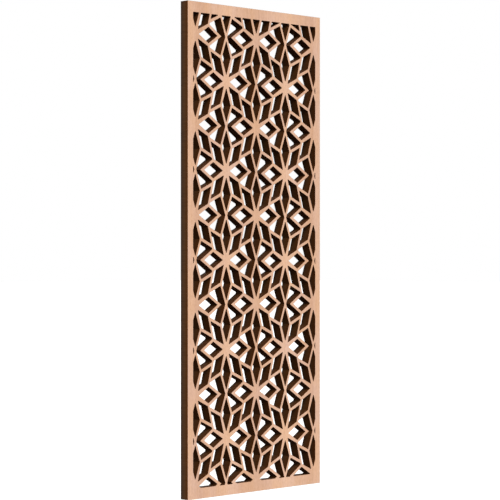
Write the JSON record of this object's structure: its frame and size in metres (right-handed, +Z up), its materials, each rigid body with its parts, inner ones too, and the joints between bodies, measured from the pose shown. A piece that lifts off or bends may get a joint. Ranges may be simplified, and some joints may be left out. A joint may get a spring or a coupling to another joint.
{
  "type": "pierced fretwork wall panel",
  "caption": "Tall thin wooden panel pierced right through in a lattice of eight-pointed stars, kites and chevrons inside a plain narrow border.",
  "frame": {"origin": "on the flat back of the board, in the middle of the top rail, where the panel hangs on the wall", "axes": "+X to the right seen from the front, +Y into the wall, +Z up; the decorated face looks along -Y and the flat back lies in the plane Y = 0"},
  "size_m": [0.39, 0.0205, 1],
  "materials": {
    "panel_wood": "pale peach wood with a satin face; the sawn walls of the piercings and the outer edges are scorched dark brown"
  },
  "bodies": {
    "root": {"fretwork_panel": "panel_wood"}
  },
  "joints": []
}
